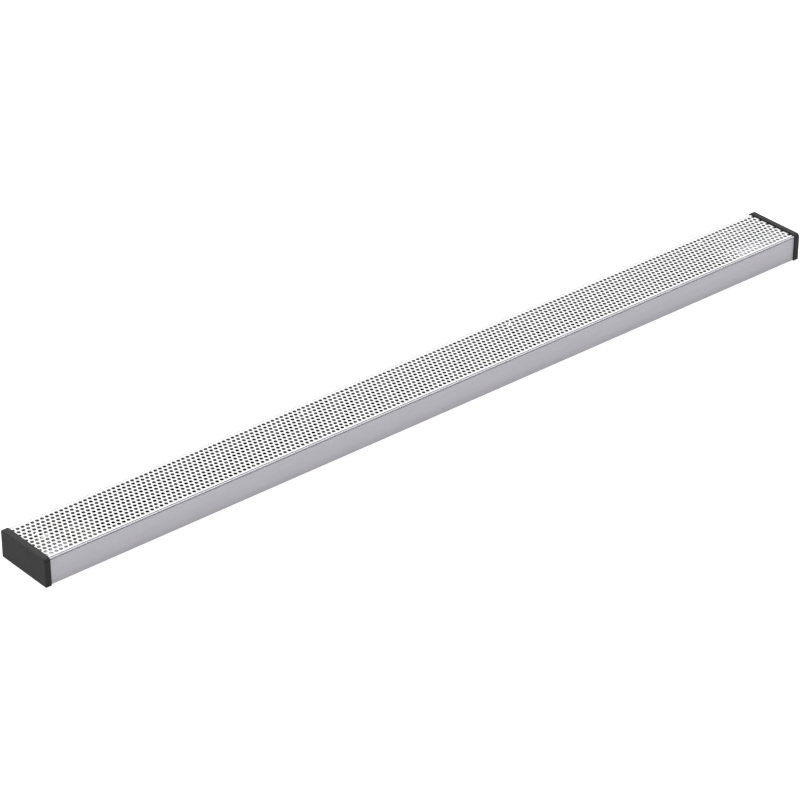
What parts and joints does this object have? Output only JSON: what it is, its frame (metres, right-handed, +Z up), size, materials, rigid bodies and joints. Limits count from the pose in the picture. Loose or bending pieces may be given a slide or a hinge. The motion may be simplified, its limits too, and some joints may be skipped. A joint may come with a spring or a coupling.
{
  "type": "baseboard heater",
  "caption": "Long low electric baseboard convector: aluminium trough, perforated lift-off top grille, dark plastic end caps and a finned hairpin element inside.",
  "frame": {"origin": "bottom centre of the heater's bounding box", "axes": "+X along the length, -Y to the room side, +Y to the wall, +Z up"},
  "size_m": [1.8, 0.128, 0.056],
  "materials": {
    "anodised_aluminium": "satin anodised",
    "grille_sheet": "satin",
    "cap_plastic": "fine matte moulding",
    "zinc_steel": "zinc plated",
    "bright_aluminium": "mill finish",
    "black_fins": "black heat-resistant coating",
    "sheath_steel": "dull stainless",
    "ceramic": "unglazed ceramic",
    "block_plastic": "matte moulding",
    "cutout_plastic": "black phenolic",
    "brass": "bright",
    "soft_rubber": "matte rubber",
    "brown_lead": "insulation",
    "blue_lead": "insulation",
    "green_yellow_lead": "insulation"
  },
  "bodies": {
    "housing": {"housing_profile": "anodised_aluminium", "grille_rest_strips": "soft_rubber", "end_plate_left": "zinc_steel", "end_plate_right": "zinc_steel", "end_plate_screws": "zinc_steel", "element_sheath": "sheath_steel", "element_fins": "black_fins", "element_seals": "ceramic", "element_pins": "zinc_steel", "pin_nuts": "zinc_steel", "element_brackets": "black_fins", "bracket_spacers": "ceramic", "bracket_screws": "zinc_steel", "bracket_nuts": "zinc_steel", "heat_shield": "bright_aluminium", "compartment_divider": "zinc_steel", "divider_bushings": "ceramic", "divider_screws": "zinc_steel", "divider_nuts": "zinc_steel", "terminal_block": "block_plastic", "terminal_screws": "brass", "terminal_block_screw": "zinc_steel", "earth_screw": "brass", "earth_nuts": "brass", "thermal_cutout": "cutout_plastic", "cutout_rivets": "zinc_steel", "cutout_tabs": "brass", "ring_lugs": "brass", "live_lead": "brown_lead", "switched_lead": "brown_lead", "neutral_lead": "blue_lead", "earth_lead": "green_yellow_lead", "inlet_grommet": "soft_rubber", "cable_clamp_base": "block_plastic", "cable_clamp_saddle": "block_plastic", "clamp_screws": "zinc_steel", "clamp_nuts": "zinc_steel"},
    "grille": {"perforated_grille": "grille_sheet"},
    "cap_left": {"end_cap_left": "cap_plastic"},
    "cap_right": {"end_cap_right": "cap_plastic"}
  },
  "joints": [
    {"name": "grille_lift", "type": "slide", "parent": "housing", "child": "grille", "axis": [0, 0, 1], "range_m": [0, 0.06]},
    {"name": "cap_left_pull", "type": "slide", "parent": "housing", "child": "cap_left", "axis": [-1, 0, 0], "range_m": [0, 0.03]},
    {"name": "cap_right_pull", "type": "slide", "parent": "housing", "child": "cap_right", "axis": [1, 0, 0], "range_m": [0, 0.03]}
  ]
}
